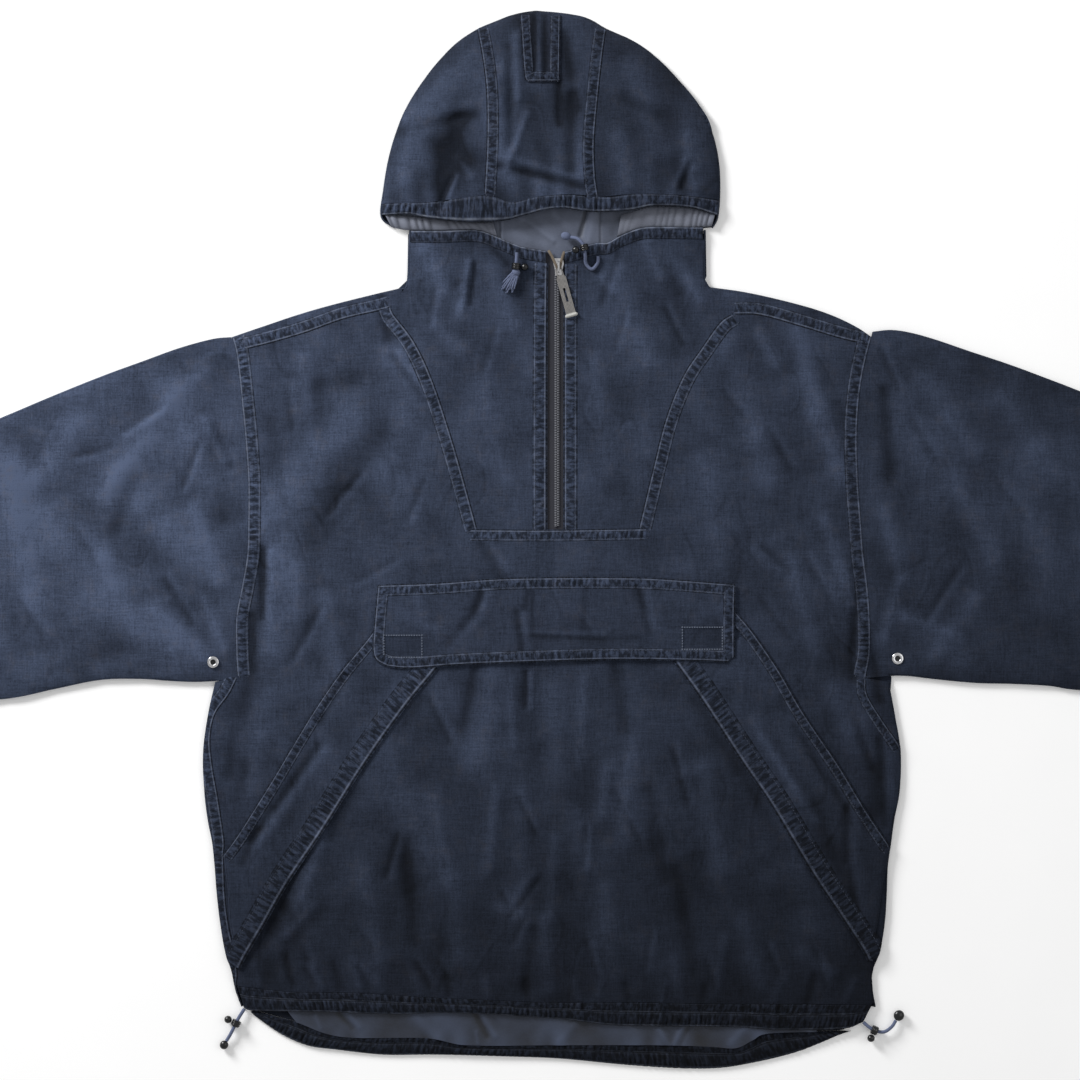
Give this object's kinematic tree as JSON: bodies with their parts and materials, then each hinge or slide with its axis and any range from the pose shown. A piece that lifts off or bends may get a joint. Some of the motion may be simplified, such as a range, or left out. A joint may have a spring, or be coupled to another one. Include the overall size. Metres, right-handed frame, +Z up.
{
  "type": "anorak pullover",
  "caption": "Hooded half-zip anorak in washed cotton canvas, laid flat, with a flapped front pocket and drawcords at hood and hem.",
  "frame": {"origin": "on the surface the garment lies on, under the middle of the yoke's lower seam", "axes": "+Z up from the surface, +Y towards the hood, +X to the wearer's left, the picture's right"},
  "size_m": [1.7647, 1.0575, 0.0183],
  "materials": {
    "canvas": "washed navy cotton canvas, matt, paler along seams",
    "lining": "smooth blue-grey lining cloth",
    "zip_tape": "woven navy zip tape",
    "nickel": "bright nickel plate",
    "pull_tab": "grey woven pull strap with a metal core",
    "black_plastic": "glossy black moulding",
    "cord": "braided periwinkle cord"
  },
  "bodies": {
    "garment": {"back": "canvas", "front": "canvas", "front_pocket_panel": "canvas", "yoke_left": "canvas", "yoke_right": "canvas", "pocket_strip_left": "canvas", "pocket_strip_right": "canvas", "pocket_flap": "canvas", "sleeve_left": "canvas", "sleeve_right": "canvas", "cuff_left": "canvas", "cuff_right": "canvas", "hood_side_left": "canvas", "hood_side_right": "canvas", "hood_centre": "canvas", "hood_tab": "canvas", "hood_brim": "canvas", "neck_casing_left": "canvas", "neck_casing_right": "canvas", "hem_casing_front": "canvas", "hem_casing_back": "canvas", "hood_lining": "lining", "hem_lining": "lining", "hood_facing_left": "lining", "hood_facing_right": "lining", "zip_tape_left": "zip_tape", "zip_tape_right": "zip_tape", "zip_slider": "nickel", "eyelet_left": "nickel", "eyelet_right": "nickel", "hood_lock_left": "black_plastic", "hood_lock_left_button": "black_plastic", "hood_lock_right": "black_plastic", "hood_lock_right_button": "black_plastic", "hem_lock_left": "black_plastic", "hem_lock_left_button": "black_plastic", "hem_lock_right": "black_plastic", "hem_lock_right_button": "black_plastic", "hem_knob_left": "black_plastic", "hem_knob_right": "black_plastic", "hood_cord_left": "cord", "hood_cord_right": "cord", "hem_cord_left": "cord", "hem_cord_right": "cord", "hood_knot_left": "cord", "hood_knot_right": "cord"},
    "pull": {"zip_pull": "pull_tab"}
  },
  "joints": [
    {"name": "pull_hinge", "type": "hinge", "parent": "garment", "child": "pull", "pos_m": [0.0036, 0.27085, 0.0074], "axis": [-0.9636, -0.2672, 0], "range_deg": [0, 140]}
  ]
}
